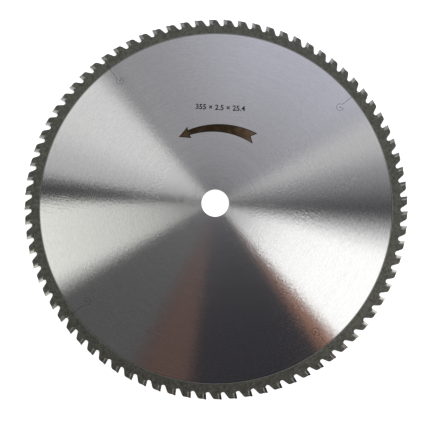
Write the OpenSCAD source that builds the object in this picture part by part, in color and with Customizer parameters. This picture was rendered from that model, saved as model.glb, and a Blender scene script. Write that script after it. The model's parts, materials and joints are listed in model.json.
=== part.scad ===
// Circular saw blade with brazed carbide tips, lying flat.
// The blade axis is Z, the origin is the centre of the bore at half thickness,
// and the cutting edge of the first tooth lies on +X.
// Seen from +Z the blade turns counter-clockwise, so each tooth's face looks that way.

/* [Blade] */
// Diameter over the cutting edges
blade_d = 355; // [300:1:420]
// Thickness of the steel plate
plate_t = 2; // [1.6:0.1:2.2]
// Diameter of the bore for the arbor
bore_d = 25.4; // [16:0.1:40]
// Broken edge at both ends of the bore
bore_chamfer = 0.2; // [0.1:0.05:0.5]

/* [Teeth] */
// Number of teeth
tooth_count = 80; // [60:2:90]
// Forward lean of a tooth's face
hook_angle = 5; // [0:1:12]
// Depth of a gullet below the cutting edges
gullet_depth = 6.8; // [6.4:0.1:8]
// Radius of the gullet's floor
gullet_r = 2; // [1.8:0.1:2.6]
// Slope of a tooth's back above the gullet
back_angle = 56; // [48:1:62]
// Radius of the shoulder at the top of a tooth's back
shoulder_r = 3; // [2:0.25:6]
// Height of the cutting edges above the steel of a tooth
edge_rise = 0.7; // [0.5:0.1:1.5]
// Distance from a tip's face back to the steel below it
face_setback = 0.4; // [0.2:0.05:0.6]

/* [Carbide tips] */
// Width of the cut, which is a tip's width at its cutting edge
kerf = 2.5; // [2.4:0.1:3.2]
// Thickness of a tip from its face to its back
tip_t = 2; // [1.5:0.1:2.4]
// Length of a tip along its face
tip_l = 5; // [4.5:0.1:6]
// Fall of a tip's top behind its edge
top_relief = 8; // [4:1:12]
// Taper of a tip's sides towards the blade's centre
radial_relief = 0.8; // [0.5:0.1:1.5]
// Taper of a tip's sides towards its back
side_relief = 0.5; // [0.25:0.25:3]
// Corner bevel of the trapeze tips, across the blade
trapeze_bevel = 0.45; // [0.3:0.05:0.8]
// Slope of that bevel
bevel_angle = 45; // [30:5:60]
// Distance of the flat tips' edges below those of the trapeze tips
flat_drop = 0.2; // [0.1:0.05:0.4]
// Thickness of the solder between a tip and its seat
braze_t = 0.1; // [0.05:0.01:0.2]

/* [Expansion slots] */
// Number of slots around the plate
slot_count = 4; // [2:1:6]
// Width of a slot
slot_w = 0.3; // [0.2:0.05:0.6]
// Tooth in front of which the first slot starts
slot_first_tooth = 8; // [0:1:12]
// Distance of a slot ahead of its tooth's cutting edge
slot_lead = 0.1; // [0:0.1:1.4]
// Distance from the cutting edges in to the middle of a curl
curl_depth = 29.5; // [20:0.5:50]
// Radius of a curl at the middle of its slot
curl_r = 3.3; // [2.5:0.1:5]
// Sideways step from a slot to the middle of its curl
curl_shift = 0.85; // [0.4:0.05:1.5]
// Direction from which a curl runs in to its middle, from straight across the blade's radius
curl_end_angle = 30; // [10:5:45]
// Diameter of the hole that ends a curl
curl_hole_d = 1; // [0.7:0.1:1.5]

/* [Hidden] */

// Facets of the round holes and curls, and steps of the arcs in the tooth outline
$fn = 96;
gullet_steps = 12;
shoulder_steps = 8;
// Overlap of a cut past the surface that it opens
cut = 1;

edge_r = blade_d / 2;
gullet_floor_r = edge_r - gullet_depth;
land_r = edge_r - edge_rise;
pitch = 360 / tooth_count;

// A tooth is drawn with its edge on +X: x runs outwards and y runs the way the blade turns.
edge = [edge_r, 0];
face_down = [-cos(hook_angle), -sin(hook_angle)];
face_out = [-sin(hook_angle), cos(hook_angle)];

function turned(p, a) = [p.x * cos(a) - p.y * sin(a), p.x * sin(a) + p.y * cos(a)];
function aim(a) = [cos(a), sin(a)];
function arc(centre, r, from, to, steps) =
    [for (i = [0:steps]) centre + r * aim(from + (to - from) * i / steps)];
// Distance along u from p to the outer crossing of the circle of radius r about the axis
function reach(p, u, r) = -p * u + sqrt(pow(p * u, 2) - p * p + r * r);

// Point of a tooth by its distance down the face from the edge and ahead of the face
function at_face(down, ahead) = edge + down * face_down + ahead * face_out;

// Seat of a tip: a corner cut behind and below it, with room for the solder
seat_down = tip_l + braze_t;
seat_corner = at_face(seat_down, -tip_t - braze_t);
seat_top = seat_corner - reach(seat_corner, -face_down, land_r) * face_down;

// Gullet: a round floor that meets the steel under the tip and runs into the next tooth's back
gullet_ahead = gullet_r - face_setback;
gullet_line = edge + gullet_ahead * face_out;
gullet_down = -reach(gullet_line, -face_down, gullet_floor_r + gullet_r);
gullet_middle = gullet_line + gullet_down * face_down;
gullet_turn = atan2(gullet_middle.y, gullet_middle.x);
// Part of the gullet's round that the seat cuts off
seat_bite = max(0, seat_down - gullet_down);
gullet_from = hook_angle - 90 - asin(seat_bite / gullet_r);
gullet_to = gullet_turn - 180 - back_angle;

// Back of the next tooth: a straight slope and a round shoulder that runs into the land
back_up = aim(gullet_turn + 90 - back_angle);
back_in = aim(gullet_to);
slope_start = gullet_middle + gullet_r * back_in;
shoulder_line = slope_start + shoulder_r * back_in;
shoulder_middle = shoulder_line + reach(shoulder_line, back_up, land_r - shoulder_r) * back_up;
shoulder_to = atan2(shoulder_middle.y, shoulder_middle.x);

tooth_outline = concat(
    [seat_top, seat_corner],
    seat_bite > 0 ? [] : [at_face(seat_down, -face_setback)],
    arc(gullet_middle, gullet_r, gullet_from, gullet_to, gullet_steps),
    arc(shoulder_middle, shoulder_r, gullet_to + 180, shoulder_to, shoulder_steps)
);

// Fall of a tip's top from its edge to its back, along the face
top_fall = tip_t * tan(top_relief + hook_angle);

curl_place_r = edge_r - curl_depth;
// Angle of a slot, which opens in the gullet ahead of its tooth
slot_turn = asin(slot_lead / gullet_floor_r);
// Height above a curl's middle at which its slot runs into it
curl_join = sqrt(curl_r * curl_r - curl_shift * curl_shift);
curl_join_angle = atan2(curl_join, -curl_shift);
// Height of the gullet's round above a curl's middle, where the slot opens
slot_top = gullet_floor_r + gullet_r - curl_place_r;

module toothed_disc() {
    polygon([for (k = [0:tooth_count - 1]) for (p = tooth_outline) turned(p, k * pitch)]);
}

// Wedge of a circle between two angles that lie under 180 degrees apart
module wedge(r, from, to) {
    polygon([[0, 0], r * aim(from), r * 2 * aim((from + to) / 2), r * aim(to)]);
}

// Narrow ring of a slot's width
module slot_ring(r) {
    difference() {
        circle(r = r + slot_w / 2);
        circle(r = r - slot_w / 2);
    }
}

// One slot with the middle of its curl at the origin and the rim in the direction of +Y
module expansion_slot() {
    translate([-curl_shift - slot_w / 2, curl_join])
        square([slot_w, slot_top - curl_join]);
    difference() {
        slot_ring(curl_r);
        wedge(curl_r + cut, curl_end_angle, curl_join_angle);
    }
    rotate(curl_end_angle)
        translate([0, -slot_w / 2])
            square([curl_r, slot_w]);
    circle(d = curl_hole_d);
}

module expansion_slots() {
    for (i = [0:slot_count - 1]) {
        tooth = slot_first_tooth + round(i * tooth_count / slot_count);
        rotate(tooth * pitch + slot_turn - 90)
            translate([curl_shift, curl_place_r])
                expansion_slot();
    }
}

// Broken edge of the bore at the upper face
module bore_edge() {
    translate([0, 0, plate_t / 2 - bore_chamfer])
        cylinder(h = bore_chamfer + cut, d1 = bore_d, d2 = bore_d + 2 * (bore_chamfer + cut));
}

module steel_plate() {
    color("silver")
        difference() {
            translate([0, 0, -plate_t / 2])
                linear_extrude(plate_t)
                    difference() {
                        toothed_disc();
                        circle(d = bore_d);
                        expansion_slots();
                    }
            bore_edge();
            mirror([0, 0, 1])
                bore_edge();
        }
}

// Space above a tilted plane through the local origin, large enough to clear a tip
module ground_away() {
    size = 2 * (tip_l + tip_t);
    translate([-size / 2, -size / 2, 0])
        cube(size);
}

// One tip: a blank as wide as the cut, ground on its top, its sides and the corners of its edge.
// It is drawn with its face in the plane y = 0 and its highest edge at the origin, then set on a tooth.
module tip(drop, bevel) {
    translate(edge)
        rotate(hook_angle)
            difference() {
                translate([0, 0, -kerf / 2])
                    linear_extrude(kerf)
                        polygon([[-drop, 0], [-tip_l, 0], [-tip_l, -tip_t], [-drop - top_fall, -tip_t]]);
                for (side = [0, 1])
                    mirror([0, 0, side]) {
                        translate([0, 0, kerf / 2])
                            rotate([side_relief, -radial_relief, 0])
                                ground_away();
                        if (bevel > 0)
                            translate([0, 0, kerf / 2 - bevel])
                                rotate([0, 0, -top_relief - hook_angle])
                                    rotate([0, bevel_angle, 0])
                                        ground_away();
                    }
            }
}

// Every second tooth, starting at the one named
module every_second_tooth(first) {
    for (k = [first:2:tooth_count - 1])
        rotate(k * pitch)
            children();
}

module trapeze_tips() {
    color("dimgray")
        every_second_tooth(0)
            tip(0, trapeze_bevel);
}

module flat_tips() {
    color("gray")
        every_second_tooth(1)
            tip(flat_drop, 0);
}

// Solder behind and below one tip, filling its seat
module braze_layer() {
    translate([0, 0, -plate_t / 2])
        linear_extrude(plate_t)
            polygon([
                seat_top,
                seat_corner,
                at_face(seat_down, -face_setback),
                at_face(tip_l, -face_setback),
                at_face(tip_l, -tip_t),
                seat_top + braze_t * face_out
            ]);
}

module braze_layers() {
    color("gainsboro")
        for (k = [0:tooth_count - 1])
            rotate(k * pitch)
                braze_layer();
}

steel_plate();
trapeze_tips();
flat_tips();
braze_layers();
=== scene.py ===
import json
import math

import bpy
from mathutils import Matrix, Vector


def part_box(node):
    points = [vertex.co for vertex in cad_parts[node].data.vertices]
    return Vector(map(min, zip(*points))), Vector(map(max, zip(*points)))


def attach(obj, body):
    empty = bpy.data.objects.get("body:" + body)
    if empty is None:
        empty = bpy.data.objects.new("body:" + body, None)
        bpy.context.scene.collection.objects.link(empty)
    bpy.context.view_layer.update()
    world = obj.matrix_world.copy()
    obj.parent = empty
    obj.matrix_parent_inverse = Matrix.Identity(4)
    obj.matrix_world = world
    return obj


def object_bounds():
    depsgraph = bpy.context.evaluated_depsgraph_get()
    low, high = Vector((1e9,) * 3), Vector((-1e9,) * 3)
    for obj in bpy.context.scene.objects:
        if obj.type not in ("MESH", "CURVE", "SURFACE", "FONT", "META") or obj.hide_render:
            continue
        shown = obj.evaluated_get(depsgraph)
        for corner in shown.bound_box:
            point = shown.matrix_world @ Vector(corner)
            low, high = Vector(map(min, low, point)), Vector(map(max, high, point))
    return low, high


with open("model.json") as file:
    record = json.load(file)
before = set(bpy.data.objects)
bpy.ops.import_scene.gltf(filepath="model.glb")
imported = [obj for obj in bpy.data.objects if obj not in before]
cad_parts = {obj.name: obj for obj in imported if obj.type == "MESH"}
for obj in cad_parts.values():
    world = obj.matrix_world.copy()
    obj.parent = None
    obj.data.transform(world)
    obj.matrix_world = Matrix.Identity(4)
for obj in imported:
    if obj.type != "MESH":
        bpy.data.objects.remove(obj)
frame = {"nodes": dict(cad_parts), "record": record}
cad_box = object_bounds()

MM = 0.001

# Sizes of the blade, from the frame
EDGE_R = (cad_box[1].x - cad_box[0].x) / 2
PLATE_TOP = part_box("steel_plate")[1].z
FLOOR_Z = cad_box[0].z
mounts = {mount["name"]: mount for mount in frame["record"]["mounts"]}
BORE_R = mounts["arbor_bore"]["dims"]["r_mm"] * MM

# Sizes of the teeth, as in the part's source
GULLET_DEPTH = 6.8 * MM
GULLET_FLOOR_R = EDGE_R - GULLET_DEPTH
TOOTH_COUNT = 80
HOOK_ANGLE = math.radians(5)

# Finish of the plate: a ground disc inside a dark blasted rim, with a narrow line where they meet
RIM_W = 14.5 * MM
GROUND_R = EDGE_R - RIM_W
RIM_BLUR = 0.1 * MM
RIM_DULLNESS = 0.2

# Half widths of that line, where it ends and where it is full
RING_LINE_END = 0.63 * MM
RING_LINE_FULL = 0.315 * MM

# The plate turns to cut edge while the share of its normal along the axis falls from the first to the second
CUT_EDGE_FACING = (0.8, 0.6)

# Ground rings of the plate, which show most around the bore and thin out towards the rim
RINGS_FULL_R = 45 * MM
RINGS_THIN_R = 95 * MM
THIN_RINGS = 0.35

# Scuffed patch of the ground face near the rim: its direction, the cosines at which it starts and is full,
# its reach, the slant, length and width of its scuffs, the noise at which they start and are full,
# and their height
SCUFF_WAY = (-1.0, 0.025, 0.0)
SCUFF_SPREAD = (0.9975, 0.9995)
SCUFF_START_R = 115 * MM
SCUFF_FULL_R = 140 * MM
SCUFF_SLANT = 0.2
SCUFF_L = 16 * MM
SCUFF_W = 0.9 * MM
SCUFF_NOISE = (0.56, 0.72)
SCUFF_HEIGHT = 0.3

# Colours of the finishes
GROUND_STEEL = (0.52, 0.52, 0.515)
BLASTED_STEEL = (0.094, 0.094, 0.079)
CUT_STEEL = (0.42, 0.41, 0.40)
RING_LINE = (0.20, 0.20, 0.19, 1)
CARBIDE = (0.38, 0.38, 0.36)
SILVER_SOLDER = (0.34, 0.335, 0.305)
DARK_INK = (0.018, 0.012, 0.007, 1)
WORN_DARK_INK = (0.028, 0.018, 0.012, 1)
BROWN_INK = (0.022, 0.013, 0.005, 1)
WORN_BROWN_INK = (0.180, 0.120, 0.070, 1)
FLOOR_WHITE = (0.9, 0.9, 0.9)

# How far marks and grain lighten and darken the steel
RING_CONTRAST = 0.03
LINE_CONTRAST = 0.03
STROKE_CONTRAST = 0.2
GRAIN_CONTRAST = 0.05
RIM_CONTRAST = 0.2
BLASTED_CONTRAST = 0.4

# The same for the carbide, the solder and the ink, some as their darkest and lightest share
CARBIDE_SHADE = (0.88, 1.08)
CARBIDE_MOTTLING = 0.06
SOLDER_SHADE = (0.85, 1.1)
INK_SHADE = (0.8, 1.2)
INK_CONTRAST = 0.1

# Roughness of the finishes, with the lowest and highest value where it varies
GROUND_ROUGHNESS = (0.100, 0.110)
BLASTED_ROUGHNESS = 0.35
CUT_ROUGHNESS = 0.45
CARBIDE_ROUGHNESS = (0.08, 0.14)
SOLDER_ROUGHNESS = (0.42, 0.58)
INK_ROUGHNESS = (0.45, 0.6)

# Strength and depth of the marks in the finishes
STEEL_BUMP = (1.0, 0.012 * MM)
CARBIDE_BUMP = (0.3, 0.01 * MM)
SOLDER_BUMP = (0.5, 0.03 * MM)
INK_BUMP = (0.2, 0.01 * MM)

# Size of the grain in the finishes
STEEL_GRAIN = 0.9 * MM
BLASTED_GRAIN = 2.4 * MM
CARBIDE_GRAIN = 0.25 * MM
SOLDER_GRAIN = 0.3 * MM
INK_GRAIN = 0.5 * MM

# Spacing of the ground lines on the steel, and of those that show through the ink
STEEL_LINE_STEP = 0.4 * MM
INK_LINE_STEP = 0.5 * MM

# Wheel lines on the carbide, per radian round the axis, per millimetre out from it and per metre along it
CARBIDE_LINES = (2600.0, 0.5, 900.0)

# Wear of the ink: the shares of the arrow's body over which it fades at the tail and at the head,
# how far it fades at the head, how many radians the fading shifts round the axis,
# and the noise and depth of its patches and rings
TAIL_WEAR_RUN = 0.45
HEAD_WEAR_RUN = 0.12
HEAD_WEAR = 0.35
WEAR_SHIFT = 0.12
PATCH_NOISE = (0.45, 0.75)
PATCH_WEAR = (0.0, 0.2)
RING_NOISE = (0.35, 0.65)
RING_WEAR = (0.6, 1.0)

# Share of plain gloss on the steel's rim and on the ink
STEEL_GLOSS = 0.4
INK_GLOSS = 0.08

# The part's first tooth stands this far counter-clockwise from the right of the picture
PICTURE_TURN = math.radians(1.94)

# Camera, with x to the right of the picture and y up in it
CAMERA_PLACE = Vector((8.2, -72.5, 556.5)) * MM
CAMERA_AIM = Vector((-0.2, -11.05, 0)) * MM
CAMERA_LENS = 50.7
SENSOR_W = 36

# Printed arrow, by its angles in the picture and its distance from the blade's axis
ARROW_R = 71 * MM
ARROW_TAIL_TURN = math.radians(58.8)
ARROW_NECK_TURN = math.radians(110.4)
ARROW_TIP_TURN = math.radians(118.7)
ARROW_TAIL_W = 10.6 * MM
ARROW_NECK_W = 5.2 * MM
ARROW_HEAD_W = 11.6 * MM
ARROW_NOTCH = 4.2 * MM
ARROW_NOTCH_RUN = 5 * ARROW_NOTCH
ARROW_SWEEP = 0.8 * MM
ARROW_SLANT = 1.3 * MM
ARROW_BORDER = 0.8 * MM
ARROW_STEPS = 30
INK_T = 0.02 * MM

# Printed size, which is the diameter, the width of cut and the bore
SIZE_WORDS = "355 × 2.5 × 25.4"
SIZE_R = 90.5 * MM
SIZE_TURN = math.radians(87)
SIZE_H = 7 * MM
SIZE_BOLD = 0.15 * MM

# Solder that spread on the tooth behind each tip, with its middle behind the tip's face and below its edge
SMEAR_BEHIND = 2.7 * MM
SMEAR_DEPTH = 3.8 * MM
SMEAR_W = 1.0 * MM
SMEAR_L = 4.2 * MM
SMEAR_T = 0.06 * MM
SMEAR_TOP = (0.94, 0.75)
SMEAR_ROUND = 0.15 * MM
SMOOTH_ANGLE = math.radians(50)

# White floor: its radius in metres, its facets and its finish, and the soft edges of the painted shadow under
# the plate, where the floor's glow is left out
FLOOR_R = 8
FLOOR_FACETS = 96
FLOOR_ROUGHNESS = 0.7
FLOOR_GLOW = 0.65
FLOOR_GRAIN = 60.0
FLOOR_SHADE = (0.98, 1.0)
GULLET_PAINTED_SHADOW_W = 2 * MM
BORE_PAINTED_SHADOW_W = 1 * MM

# Most values of a noise texture lie between these two
NOISE_LOW = 0.3
NOISE_HIGH = 0.7


class Wiring:
    """A node tree with short calls that add a node, set or link its inputs and give back an output."""

    def __init__(self, tree):
        self.tree = tree

    def plug(self, socket, value):
        if isinstance(value, bpy.types.NodeSocket):
            self.tree.links.new(value, socket)
        else:
            socket.default_value = value

    def add(self, kind, inputs=(), output=0, **settings):
        node = self.tree.nodes.new(kind)
        for name, value in settings.items():
            setattr(node, name, value)
        pairs = inputs.items() if isinstance(inputs, dict) else enumerate(inputs)
        for name, value in pairs:
            self.plug(node.inputs[name], value)
        return node.outputs[output]

    def math(self, operation, *values):
        return self.add("ShaderNodeMath", values, operation=operation)

    def vector(self, operation, *values, output=0):
        return self.add("ShaderNodeVectorMath", values, output, operation=operation)

    def split(self, vector):
        node = self.add("ShaderNodeSeparateXYZ", [vector]).node
        return node.outputs[0], node.outputs[1], node.outputs[2]

    def join(self, x, y, z):
        return self.add("ShaderNodeCombineXYZ", [x, y, z])

    def noise(self, vector, scale, detail=2.0, roughness=0.5):
        inputs = {"Vector": vector, "Scale": scale, "Detail": detail, "Roughness": roughness}
        return self.add("ShaderNodeTexNoise", inputs)

    def fade(self, value, start, end, low=0.0, high=1.0):
        """Goes smoothly from low to high while value goes from start to end."""
        inputs = {"Value": value, "From Min": start, "From Max": end, "To Min": low, "To Max": high}
        return self.add("ShaderNodeMapRange", inputs, interpolation_type="SMOOTHSTEP")

    def range(self, value, start, end, low, high):
        """Goes evenly from low to high while value goes from start to end."""
        inputs = {"Value": value, "From Min": start, "From Max": end, "To Min": low, "To Max": high}
        return self.add("ShaderNodeMapRange", inputs)

    def vary(self, noise, low, high):
        """Number from low to high that follows a noise texture."""
        return self.range(noise, NOISE_LOW, NOISE_HIGH, low, high)

    def blend(self, share, first, second):
        """Number between first and second."""
        return self.add("ShaderNodeMix", {0: share, 2: first, 3: second}, 0, data_type="FLOAT")

    def between(self, share, first, second):
        """Vector between first and second."""
        return self.add("ShaderNodeMix", {0: share, 4: first, 5: second}, 1, data_type="VECTOR")

    def tint(self, share, first, second):
        """Colour between first and second."""
        return self.add("ShaderNodeMix", {0: share, 6: first, 7: second}, 2, data_type="RGBA")

    def scaled(self, vector, factor):
        """Colour or vector times a number."""
        return self.add("ShaderNodeVectorMath", {0: vector, "Scale": factor}, operation="SCALE")


def new_group(name, inputs, outputs):
    """Shader node group with named sockets: gives its tree, its wiring, its inputs and its outputs."""
    tree = bpy.data.node_groups.new(name, "ShaderNodeTree")
    for socket, kind in inputs.items():
        tree.interface.new_socket(socket, in_out="INPUT", socket_type="NodeSocket" + kind)
    for socket, kind in outputs.items():
        tree.interface.new_socket(socket, in_out="OUTPUT", socket_type="NodeSocket" + kind)
    given = tree.nodes.new("NodeGroupInput").outputs
    result = tree.nodes.new("NodeGroupOutput").inputs
    return tree, Wiring(tree), given, result


def use_group(wiring, tree, **inputs):
    """Places a node group and gives its outputs by name."""
    node = wiring.tree.nodes.new("ShaderNodeGroup")
    node.node_tree = tree
    for name, value in inputs.items():
        wiring.plug(node.inputs[name], value)
    return node.outputs


def polar_group():
    """Distance from the blade's axis in millimetres, direction away from it and turn about it."""
    tree, w, given, result = new_group(
        "place_on_blade",
        {"Position": "Vector"},
        {"Radius": "Float", "Outward": "Vector", "Turn": "Float"},
    )
    flat = w.vector("MULTIPLY", given["Position"], (1, 1, 0))
    x, y, _ = w.split(flat)
    w.plug(result["Radius"], w.math("MULTIPLY", w.vector("LENGTH", flat, output=1), 1 / MM))
    w.plug(result["Outward"], w.vector("NORMALIZE", flat))
    w.plug(result["Turn"], w.math("ARCTAN2", y, x))
    return tree


def grinding_group():
    """Marks of a grinding wheel in rings about the axis: fine lines, broad rings and short strokes."""
    tree, w, given, result = new_group(
        "grinding_rings",
        {"Radius": "Float", "Outward": "Vector", "Spacing": "Float"},
        {"Lines": "Float", "Rings": "Float", "Strokes": "Float"},
    )
    x, y, _ = w.split(given["Outward"])

    def ringed(spacing, along):
        """Place for a noise that changes by this spacing outwards and this often along a ring."""
        steps = w.math("DIVIDE", given["Radius"], spacing)
        return w.join(w.math("MULTIPLY", x, along), w.math("MULTIPLY", y, along), steps)

    fine = ringed(given["Spacing"], 3.0)
    broad = ringed(w.math("MULTIPLY", given["Spacing"], 6.0), 0.8)
    w.plug(result["Lines"], w.noise(fine, 1.0, 3.0, 0.65))
    w.plug(result["Rings"], w.noise(broad, 1.0, 2.0, 0.5))
    # The strokes are deeper in patches
    strokes = w.noise(ringed(w.math("MULTIPLY", given["Spacing"], 3.0), 26.0), 1.0, 2.0, 0.6)
    patches = w.noise(ringed(w.math("MULTIPLY", given["Spacing"], 60.0), 4.0), 1.0, 1.0)
    depth = w.fade(patches, 0.5, 0.75, 1.0, 2.0)
    w.plug(result["Strokes"], w.math("MULTIPLY", w.math("SUBTRACT", strokes, 0.5), depth))
    return tree


def grain_group():
    """Grain of a blasted or cast surface and the slow mottling over it."""
    tree, w, given, result = new_group(
        "surface_grain",
        {"Position": "Vector", "Size": "Float"},
        {"Grain": "Float", "Mottling": "Float"},
    )
    steps = w.math("DIVIDE", 1.0, given["Size"])
    w.plug(result["Grain"], w.noise(given["Position"], steps, 3.0, 0.6))
    w.plug(result["Mottling"], w.noise(given["Position"], w.math("MULTIPLY", steps, 0.06), 3.0, 0.55))
    return tree


PLACE = polar_group()
GRINDING = grinding_group()
GRAIN = grain_group()


def new_material(name, constants):
    """Material with one Principled shader, its constant values set on the shader's own sockets."""
    material = bpy.data.materials.new(name)
    material.use_nodes = True
    shader = material.node_tree.nodes["Principled BSDF"]
    for socket, value in constants.items():
        shader.inputs[socket].default_value = value
    wiring = Wiring(material.node_tree)
    places = wiring.add("ShaderNodeTexCoord").node.outputs
    return material, wiring, shader.inputs, places


def bump(wiring, height, strength, distance):
    inputs = {"Strength": strength, "Distance": distance, "Height": height}
    return wiring.add("ShaderNodeBump", inputs)


def plate_material():
    """Steel ground in rings up to the dark rim, with bare steel on the cut edges."""
    constants = {"Anisotropic": 1.0, "Specular IOR Level": STEEL_GLOSS}
    material, w, shader, places = new_material("ground_steel", constants)
    place = use_group(w, PLACE, Position=places["Object"])
    radius = place["Radius"]
    grinding = use_group(w, GRINDING, Radius=radius, Outward=place["Outward"], Spacing=STEEL_LINE_STEP / MM)
    grain = use_group(w, GRAIN, Position=places["Object"], Size=STEEL_GRAIN)
    blasting = use_group(w, GRAIN, Position=places["Object"], Size=BLASTED_GRAIN)
    facing = w.math("ABSOLUTE", w.split(places["Normal"])[2])
    cut_edge = w.fade(facing, *CUT_EDGE_FACING)
    on_rim = w.fade(radius, (GROUND_R - RIM_BLUR) / MM, (GROUND_R + RIM_BLUR) / MM)
    from_line = w.math("ABSOLUTE", w.math("SUBTRACT", radius, GROUND_R / MM))
    ring_line = w.fade(from_line, RING_LINE_END / MM, RING_LINE_FULL / MM)

    ring_share = w.fade(radius, RINGS_THIN_R / MM, RINGS_FULL_R / MM, THIN_RINGS, 1.0)
    ring_shade = w.vary(grinding["Rings"], -RING_CONTRAST, RING_CONTRAST)
    line_shade = w.vary(grinding["Lines"], -LINE_CONTRAST, LINE_CONTRAST)
    stroke_shade = w.math("MULTIPLY", grinding["Strokes"], STROKE_CONTRAST)
    grain_shade = w.vary(grain["Grain"], -GRAIN_CONTRAST, GRAIN_CONTRAST)
    marks = w.math("ADD", w.math("MULTIPLY", ring_shade, ring_share), w.math("ADD", line_shade, stroke_shade))
    ground_colour = w.scaled(GROUND_STEEL, w.math("ADD", 1.0, w.math("ADD", marks, grain_shade)))
    rim_grain = w.vary(grain["Grain"], 1 - RIM_CONTRAST, 1 + RIM_CONTRAST)
    rim_blasting = w.vary(blasting["Grain"], -BLASTED_CONTRAST, BLASTED_CONTRAST)
    rim_shade = w.math("ADD", rim_grain, rim_blasting)
    colour = w.tint(on_rim, ground_colour, w.scaled(BLASTED_STEEL, rim_shade))
    colour = w.tint(ring_line, colour, RING_LINE)
    colour = w.tint(cut_edge, colour, w.scaled(CUT_STEEL, rim_shade))
    w.plug(shader["Base Color"], colour)

    # The blasted rim is a little less metallic than the rest
    metallic = w.math("SUBTRACT", 1.0, w.math("MULTIPLY", on_rim, RIM_DULLNESS))
    w.plug(shader["Metallic"], w.math("MAXIMUM", metallic, cut_edge))

    roughness = w.blend(on_rim, w.vary(grinding["Lines"], *GROUND_ROUGHNESS), BLASTED_ROUGHNESS)
    roughness = w.blend(cut_edge, roughness, CUT_ROUGHNESS)
    w.plug(shader["Roughness"], roughness)

    toward_scuffs = w.vector("DOT_PRODUCT", place["Outward"], SCUFF_WAY, output=1)
    near_rim = w.fade(radius, SCUFF_START_R / MM, SCUFF_FULL_R / MM)
    scuffed = w.math("MULTIPLY", w.fade(toward_scuffs, *SCUFF_SPREAD), near_rim)
    # The scuffs run in from the rim, a little askew
    across = w.split(w.scaled(places["Object"], 1 / MM))[1]
    askew = w.math("SUBTRACT", across, w.math("MULTIPLY", radius, SCUFF_SLANT))
    long_steps = w.math("DIVIDE", radius, SCUFF_L / MM)
    scuffs = w.noise(w.join(long_steps, w.math("DIVIDE", askew, SCUFF_W / MM), 0.0), 1.0)
    scuff_height = w.math("MULTIPLY", scuffed, w.fade(scuffs, *SCUFF_NOISE, 0.0, SCUFF_HEIGHT))
    height = w.blend(on_rim, w.math("ADD", grinding["Strokes"], scuff_height), grain["Grain"])
    w.plug(shader["Normal"], bump(w, height, *STEEL_BUMP))

    # The ground face shines along the radius; the blasted rim and the cut edges shine the same all ways
    flat = w.vector("MULTIPLY", places["Object"], (1, 1, 0))
    blasted = w.fade(w.vector("LENGTH", flat, output=1), GROUND_R - RIM_BLUR, GROUND_R + RIM_BLUR)
    any_way = w.add("ShaderNodeTexWhiteNoise", {"Vector": w.scaled(places["Object"], 1 / MM)}, 1)
    any_way = w.vector("SUBTRACT", any_way, (0.5, 0.5, 0.5))
    outward = w.vector("NORMALIZE", flat)
    w.plug(shader["Tangent"], w.between(w.math("MAXIMUM", blasted, cut_edge), outward, any_way))
    return material


def carbide_material():
    """Ground carbide, with fine wheel lines along the tip and a slight mottling."""
    material, w, shader, places = new_material("ground_carbide", {"Metallic": 1.0})
    place = use_group(w, PLACE, Position=places["Object"])
    height = w.split(places["Object"])[2]
    ways = (place["Turn"], place["Radius"], height)
    along = [w.math("MULTIPLY", way, step) for way, step in zip(ways, CARBIDE_LINES)]
    lines = w.noise(w.join(*along), 1.0, 3.0, 0.6)
    grain = use_group(w, GRAIN, Position=places["Object"], Size=CARBIDE_GRAIN)
    mottling = w.vary(grain["Mottling"], -CARBIDE_MOTTLING, CARBIDE_MOTTLING)
    shade = w.math("ADD", w.vary(lines, *CARBIDE_SHADE), mottling)
    w.plug(shader["Base Color"], w.scaled(CARBIDE, shade))
    w.plug(shader["Roughness"], w.vary(lines, *CARBIDE_ROUGHNESS))
    w.plug(shader["Normal"], bump(w, lines, *CARBIDE_BUMP))
    return material


def solder_material():
    """Silver solder, slightly uneven, as it sets after brazing."""
    material, w, shader, places = new_material("silver_solder", {"Metallic": 1.0})
    grain = use_group(w, GRAIN, Position=places["Object"], Size=SOLDER_GRAIN)
    w.plug(shader["Base Color"], w.scaled(SILVER_SOLDER, w.vary(grain["Grain"], *SOLDER_SHADE)))
    w.plug(shader["Roughness"], w.vary(grain["Grain"], *SOLDER_ROUGHNESS))
    w.plug(shader["Normal"], bump(w, grain["Grain"], *SOLDER_BUMP))
    return material


def ink_material(name, dark, faded_colour):
    """Printing ink, thin over the ground lines and worn lighter towards the arrow's tail and head."""
    material, w, shader, places = new_material(name, {"Metallic": 0.0, "Specular IOR Level": INK_GLOSS})
    place = use_group(w, PLACE, Position=places["Object"])
    radius = place["Radius"]
    grinding = use_group(w, GRINDING, Radius=radius, Outward=place["Outward"], Spacing=INK_LINE_STEP / MM)
    grain = use_group(w, GRAIN, Position=places["Object"], Size=INK_GRAIN)
    tail = ARROW_TAIL_TURN - PICTURE_TURN
    neck = ARROW_NECK_TURN - PICTURE_TURN
    turn = w.math("ADD", place["Turn"], w.vary(grain["Mottling"], -WEAR_SHIFT, WEAR_SHIFT))
    at_tail = w.fade(turn, tail + (neck - tail) * TAIL_WEAR_RUN, tail)
    at_head = w.fade(turn, neck - (neck - tail) * HEAD_WEAR_RUN, neck, 0.0, HEAD_WEAR)
    patches = w.range(grain["Mottling"], *PATCH_NOISE, *PATCH_WEAR)
    faded = w.math("MAXIMUM", w.math("MAXIMUM", at_tail, at_head), patches)
    worn = w.math("MULTIPLY", faded, w.range(grinding["Rings"], *RING_NOISE, *RING_WEAR))
    colour = w.tint(worn, dark, faded_colour)
    grain_shade = w.vary(grain["Grain"], -INK_CONTRAST, INK_CONTRAST)
    shade = w.math("ADD", w.vary(grinding["Lines"], *INK_SHADE), grain_shade)
    w.plug(shader["Base Color"], w.scaled(colour, shade))
    w.plug(shader["Roughness"], w.vary(grain["Grain"], *INK_ROUGHNESS))
    w.plug(shader["Normal"], bump(w, grinding["Lines"], *INK_BUMP))
    return material


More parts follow.
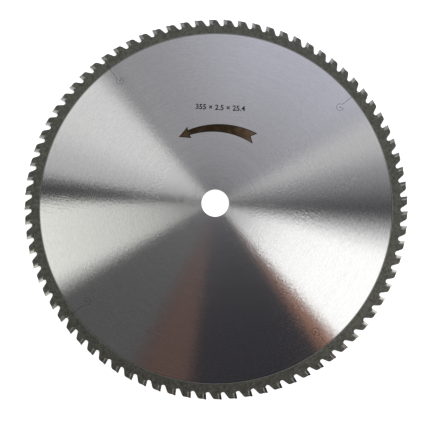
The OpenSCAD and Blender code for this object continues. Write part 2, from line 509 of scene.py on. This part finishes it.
def floor_material():
    """White floor that stays white in the picture by its glow, which is left out under the blade as a painted
    shadow.
    """
    constants = {"Roughness": FLOOR_ROUGHNESS, "Emission Strength": FLOOR_GLOW}
    material, w, shader, places = new_material("white_floor", constants)
    paper = w.noise(places["Object"], FLOOR_GRAIN, 3.0)
    w.plug(shader["Base Color"], w.scaled(FLOOR_WHITE, w.vary(paper, *FLOOR_SHADE)))
    rays = w.add("ShaderNodeLightPath").node.outputs
    mirrored = w.math("MAXIMUM", rays["Is Glossy Ray"], rays["Is Transmission Ray"])
    seen = w.math("MAXIMUM", rays["Is Camera Ray"], mirrored)
    # Painted shadow: under the plate's outline the floor's glow is left out, so there the floor has only the
    # light that reaches it
    radius = use_group(w, PLACE, Position=places["Object"])["Radius"]
    outside = w.fade(radius, (GULLET_FLOOR_R - GULLET_PAINTED_SHADOW_W) / MM, GULLET_FLOOR_R / MM)
    in_bore = w.fade(radius, (BORE_R + BORE_PAINTED_SHADOW_W) / MM, BORE_R / MM)
    glow_outside_painted_shadow = w.math("ADD", outside, in_bore)
    w.plug(shader["Emission Color"], w.scaled((1, 1, 1), w.math("MULTIPLY", seen, glow_outside_painted_shadow)))
    return material


def select_only(*pieces):
    bpy.ops.object.select_all(action="DESELECT")
    for piece in pieces:
        piece.select_set(True)
    bpy.context.view_layer.objects.active = pieces[0]


def edit(piece):
    """Opens a piece in edit mode with nothing selected."""
    select_only(piece)
    bpy.ops.object.mode_set(mode="EDIT")
    bpy.ops.mesh.select_mode(type="VERT")
    bpy.ops.mesh.select_all(action="DESELECT")


def pick(piece, test):
    """Selects the vertices whose place passes the test, in edit mode."""
    bpy.ops.mesh.select_all(action="DESELECT")
    bpy.ops.object.mode_set(mode="OBJECT")
    for vertex in piece.data.vertices:
        vertex.select = test(vertex.co)
    bpy.ops.object.mode_set(mode="EDIT")
    bpy.ops.mesh.select_mode(type="VERT")


def apply_modifier(piece, kind, **settings):
    select_only(piece)
    modifier = piece.modifiers.new(kind.lower(), kind)
    for name, value in settings.items():
        setattr(modifier, name, value)
    bpy.ops.object.modifier_apply(modifier=modifier.name)


def settle(piece, matrix):
    """Moves a piece to its place and puts that place into its mesh."""
    select_only(piece)
    piece.matrix_world = matrix
    bpy.ops.object.transform_apply(location=True, rotation=True, scale=True)


def finish_piece(piece, material):
    piece.data.materials.clear()
    piece.data.materials.append(material)
    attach(piece, "root")


def rotation_arrow(border_ink, filling_ink):
    """Arrow that shows which way the blade turns: drawn straight along X, then bent round the axis."""
    body_l = ARROW_R * (ARROW_NECK_TURN - ARROW_TAIL_TURN)
    head_l = ARROW_R * (ARROW_TIP_TURN - ARROW_NECK_TURN)
    middle_w = (ARROW_TAIL_W + ARROW_NECK_W) / 2
    bpy.ops.object.select_all(action="DESELECT")
    bpy.ops.mesh.primitive_grid_add(x_subdivisions=ARROW_STEPS, y_subdivisions=2, size=1, location=(0, 0, 0))
    arrow = bpy.context.active_object
    arrow.name = "rotation_arrow"
    settle(arrow, Matrix.Diagonal((body_l, middle_w, 1, 1)))
    apply_modifier(arrow, "SIMPLE_DEFORM", deform_method="TAPER", deform_axis="X",
                   factor=(ARROW_TAIL_W - ARROW_NECK_W) / middle_w)
    edit(arrow)
    half = body_l / 2
    near = 1e-6
    # The middle of the tail is drawn in to a notch, and one of its corners is drawn out
    notch_start = half - ARROW_NOTCH_RUN
    notched = 1 - ARROW_NOTCH / ARROW_NOTCH_RUN
    pick(arrow, lambda co: co.x > notch_start and abs(co.y) < near)
    bpy.ops.transform.resize(value=(notched, 1, 1), center_override=(notch_start, 0, 0))
    pick(arrow, lambda co: co.x > half - near and co.y < -near)
    bpy.ops.transform.translate(value=(ARROW_SLANT, 0, 0))
    # The neck widens to the head, which runs to a point and has its barbs swept back
    pick(arrow, lambda co: co.x < -half + near)
    bpy.ops.mesh.extrude_region_move(TRANSFORM_OT_translate={"value": (-ARROW_SWEEP, 0, 0)})
    bpy.ops.transform.resize(value=(1, ARROW_HEAD_W / ARROW_NECK_W, 1), center_override=(0, 0, 0))
    bpy.ops.mesh.extrude_region_move(TRANSFORM_OT_translate={"value": (-head_l + ARROW_SWEEP, 0, 0)})
    bpy.ops.mesh.merge(type="CENTER")
    pick(arrow, lambda co: co.x < -half and abs(co.y) > ARROW_HEAD_W / 2 - near)
    bpy.ops.transform.translate(value=(2 * ARROW_SWEEP, 0, 0))
    # The inset leaves the filling selected inside the border
    bpy.ops.mesh.select_all(action="SELECT")
    bpy.ops.mesh.inset(thickness=ARROW_BORDER, depth=0, use_boundary=True)
    bpy.ops.object.mode_set(mode="OBJECT")
    arrow.data.materials.append(border_ink)
    arrow.data.materials.append(filling_ink)
    arrow.active_material_index = 1
    bpy.ops.object.mode_set(mode="EDIT")
    bpy.ops.object.material_slot_assign()
    bpy.ops.object.mode_set(mode="OBJECT")
    settle(arrow, Matrix.Translation((head_l / 2, 0, 0)))
    whole = (body_l + head_l) / ARROW_R
    apply_modifier(arrow, "SIMPLE_DEFORM", deform_method="BEND", deform_axis="Z", angle=-whole)
    apply_modifier(arrow, "SOLIDIFY", thickness=INK_T, offset=1.0)
    middle = (ARROW_TAIL_TURN + ARROW_TIP_TURN) / 2 - PICTURE_TURN
    turned = Matrix.Rotation(middle - math.pi / 2, 4, "Z")
    settle(arrow, turned @ Matrix.Translation((0, ARROW_R, PLATE_TOP)))
    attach(arrow, "root")


def size_mark(ink):
    """Printed size above the arrow, in plain numbers."""
    bpy.ops.object.select_all(action="DESELECT")
    bpy.ops.object.text_add(location=(0, 0, 0))
    mark = bpy.context.active_object
    mark.data.body = SIZE_WORDS
    mark.data.align_x = "CENTER"
    mark.data.align_y = "CENTER"
    mark.data.size = SIZE_H
    mark.data.offset = SIZE_BOLD
    bpy.ops.object.convert(target="MESH")
    mark = bpy.context.active_object
    mark.name = "size_mark"
    apply_modifier(mark, "SOLIDIFY", thickness=INK_T, offset=1.0)
    turned = Matrix.Rotation(SIZE_TURN - PICTURE_TURN - math.pi / 2, 4, "Z")
    settle(mark, turned @ Matrix.Translation((0, SIZE_R, PLATE_TOP)))
    finish_piece(mark, ink)


def solder_smears(solder):
    """Thin pad of solder on both faces of the plate behind each tip: shaped once and spun round the rim."""
    bpy.ops.object.select_all(action="DESELECT")
    bpy.ops.mesh.primitive_cube_add(size=1, location=(0, 0, 0))
    smears = bpy.context.active_object
    smears.name = "solder_smears"
    settle(smears, Matrix.Diagonal((SMEAR_L, SMEAR_W, SMEAR_T, 1)))
    edit(smears)
    pick(smears, lambda co: co.z > 0)
    bpy.ops.transform.resize(value=(*SMEAR_TOP, 1), center_override=(0, 0, 0))
    bpy.ops.object.mode_set(mode="OBJECT")
    apply_modifier(smears, "BEVEL", width=SMEAR_ROUND, segments=2, limit_method="NONE", affect="EDGES")
    lean = Matrix.Translation((EDGE_R, 0, 0)) @ Matrix.Rotation(HOOK_ANGLE, 4, "Z")
    settle(smears, lean @ Matrix.Translation((-SMEAR_DEPTH, -SMEAR_BEHIND, PLATE_TOP)))
    edit(smears)
    bpy.ops.mesh.select_all(action="SELECT")
    steps = TOOTH_COUNT - 1
    bpy.ops.mesh.spin(steps=steps, dupli=True, angle=2 * math.pi * steps / TOOTH_COUNT,
                      center=(0, 0, 0), axis=(0, 0, 1))
    bpy.ops.object.mode_set(mode="OBJECT")
    apply_modifier(smears, "MIRROR", use_axis=(False, False, True), use_mirror_merge=False)
    edit(smears)
    bpy.ops.mesh.select_all(action="SELECT")
    bpy.ops.mesh.normals_make_consistent(inside=False)
    bpy.ops.object.mode_set(mode="OBJECT")
    select_only(smears)
    bpy.ops.object.shade_smooth_by_angle(angle=SMOOTH_ANGLE)
    finish_piece(smears, solder)


def paint_node(node, material):
    """Gives a node of the frame its finish."""
    materials = frame["nodes"][node].data.materials
    if not materials:
        materials.append(material)
    for index in range(len(materials)):
        materials[index] = material


def white_floor():
    bpy.ops.object.select_all(action="DESELECT")
    bpy.ops.mesh.primitive_circle_add(vertices=FLOOR_FACETS, radius=FLOOR_R, fill_type="NGON",
                                      location=(0, 0, FLOOR_Z))
    floor = bpy.context.active_object
    floor.name = "floor"
    bpy.ops.object.transform_apply(location=True, rotation=True, scale=True)
    floor.data.materials.append(floor_material())


# Panels of the studio: where each starts and ends round the blade, in degrees from the right of the picture,
# the softness of both edges, the distance from overhead at which it is fully lit, its light and its colour.
# Distances from overhead are on a level plane at a height of one.
WHITE = (1.0, 1.0, 1.0)
WARM_WHITE = (1.0, 1.0, 0.95)
PALE_BLUE = (1.0, 1.0, 1.05)
LAVENDER = (1.0, 1.0, 1.3)
BROWN = (1.0, 0.5, 0.3)
RED_BROWN = (1.0, 0.4, 0.2)
STUDIO_PANELS = {
    "window": (312, 349, 2, 9, 0.1, 1.9, WHITE),
    "window_frame": (306, 312, 3, 2, 0.2, 0.4, RED_BROWN),
    "wall": (5, 128, 10, 5, 0.05, 0.45, PALE_BLUE),
    "wall_top": (30, 95, 10, 25, 0.3, 0.35, LAVENDER),
    "warm_strip": (16, 29, 5, 5, 0.1, 0.35, WARM_WHITE),
    "left_panel": (130, 171, 5, 3, 0.06, 0.75, WHITE),
    "left_glow": (132, 158, 5, 10, 0.06, 0.35, WHITE),
    "lower_left_panel": (179, 208, 2, 5, 0.1, 0.9, WARM_WHITE),
    "lower_left_top": (179, 208, 2, 5, 0.35, 0.6, WARM_WHITE),
    "grey_screen": (210, 244, 5, 5, 0.05, 0.1, WARM_WHITE),
    "brown_screen": (245, 262, 5, 3, 0.1, 0.12, BROWN),
}
PANEL_START = 0.3

# The panels go on more dimly past these distances from overhead
PANELS_DIM = (0.5, 0.9)
LOWER_SHARE = 0.2

# A faint glow overhead, and a light low at the side that ends between two distances from overhead
OVERHEAD_GLOW = 0.08
OVERHEAD_GLOW_END = 0.2
SIDE_LIGHT = (305, 505, 20, 15, 1.1, 1.35, WHITE)
SIDE_LIGHT_END = (2.24, 1.4)

# The room: its ceiling turns to walls between two distances from overhead, and its walls to a white horizon
# between two heights
DARK_CEILING = (0.046, 0.044, 0.052, 1)
WALLS = (0.46, 0.46, 0.47, 1)
WALLS_START = (0.9, 1.9)
HORIZON = (1.0, 1.0, 1.0, 1)
HORIZON_START = (0.28, 0.16)


def panel_group():
    """One soft panel of the studio, by its place round the blade in degrees."""
    tree, w, given, result = new_group(
        "soft_panel",
        {"Around": "Float", "Aside": "Float", "Middle": "Float", "Width": "Float", "First Edge": "Float",
         "Last Edge": "Float", "Rise": "Float"},
        {"Share": "Float"},
    )
    aside = w.math("WRAP", w.math("SUBTRACT", given["Around"], given["Middle"]), 180.0, -180.0)
    half = w.math("MULTIPLY", given["Width"], 0.5)
    before = w.math("ADD", half, aside)
    after = w.math("SUBTRACT", half, aside)

    def edge(inside, softness):
        return w.fade(inside, w.math("MULTIPLY", softness, -1.0), softness)

    across = w.math("MULTIPLY", edge(before, given["First Edge"]), edge(after, given["Last Edge"]))
    along = w.fade(given["Aside"], w.math("MULTIPLY", given["Rise"], PANEL_START), given["Rise"])
    w.plug(result["Share"], w.math("MULTIPLY", across, along))
    return tree


def studio_light():
    """Soft panels round the blade under a dark ceiling, with grey walls lower down and a white horizon."""
    world = bpy.data.worlds.new("studio")
    bpy.context.scene.world = world
    world.use_nodes = True
    w = Wiring(world.node_tree)
    x, y, z = w.split(w.add("ShaderNodeTexCoord").node.outputs["Generated"])
    # The panels stand round the direction in which the middle of the blade mirrors the camera
    overhead = Matrix.Rotation(-PICTURE_TURN, 3, "Z") @ -CAMERA_PLACE / CAMERA_PLACE.z
    aside_x = w.math("SUBTRACT", w.math("DIVIDE", x, z), overhead.x)
    aside_y = w.math("SUBTRACT", w.math("DIVIDE", y, z), overhead.y)
    around = w.math("DEGREES", w.math("ARCTAN2", aside_y, aside_x))
    around = w.math("ADD", around, math.degrees(PICTURE_TURN))
    aside = w.vector("LENGTH", w.join(aside_x, aside_y, 0.0), output=1)
    panel = panel_group()

    def lit(start, end, first, last, rise, strength, colour):
        values = {"Around": around, "Aside": aside, "Middle": (start + end) / 2, "Width": end - start,
                  "First Edge": first, "Last Edge": last, "Rise": rise}
        share = use_group(w, panel, **values)["Share"]
        return w.scaled(colour, w.math("MULTIPLY", share, strength))

    light = (0.0, 0.0, 0.0)
    for values in STUDIO_PANELS.values():
        light = w.vector("ADD", light, lit(*values))
    light = w.scaled(light, w.fade(aside, *PANELS_DIM, 1.0, LOWER_SHARE))
    glow = w.fade(aside, OVERHEAD_GLOW_END, 0.0, 0.0, OVERHEAD_GLOW)
    light = w.vector("ADD", light, w.scaled(WHITE, glow))
    light = w.vector("ADD", light, w.scaled(lit(*SIDE_LIGHT), w.fade(aside, *SIDE_LIGHT_END)))
    light = w.vector("ADD", light, w.tint(w.fade(aside, *WALLS_START), DARK_CEILING, WALLS))
    light = w.tint(w.fade(z, *HORIZON_START), light, HORIZON)
    w.plug(world.node_tree.nodes["Background"].inputs["Color"], light)


def add_camera():
    """Camera above the blade, with y of the picture as its upright."""
    ahead = (CAMERA_AIM - CAMERA_PLACE).normalized()
    right = ahead.cross(Vector((0, 1, 0))).normalized()
    up = right.cross(ahead)
    turn = Matrix((right, up, -ahead)).transposed().to_4x4()
    data = bpy.data.cameras.new("camera")
    data.lens = CAMERA_LENS
    data.sensor_width = SENSOR_W
    camera = bpy.data.objects.new("camera", data)
    bpy.context.scene.collection.objects.link(camera)
    camera.matrix_world = Matrix.Rotation(-PICTURE_TURN, 4, "Z") @ Matrix.Translation(CAMERA_PLACE) @ turn
    bpy.context.scene.camera = camera


bpy.context.scene.view_settings.view_transform = "Standard"
add_camera()
studio_light()
white_floor()

carbide = carbide_material()
solder = solder_material()
dark_ink = ink_material("dark_brown_ink", DARK_INK, WORN_DARK_INK)
brown_ink = ink_material("brown_ink", BROWN_INK, WORN_BROWN_INK)
paint_node("steel_plate", plate_material())
paint_node("trapeze_tips", carbide)
paint_node("flat_tips", carbide)
paint_node("braze_layers", solder)
rotation_arrow(dark_ink, brown_ink)
size_mark(dark_ink)
solder_smears(solder)
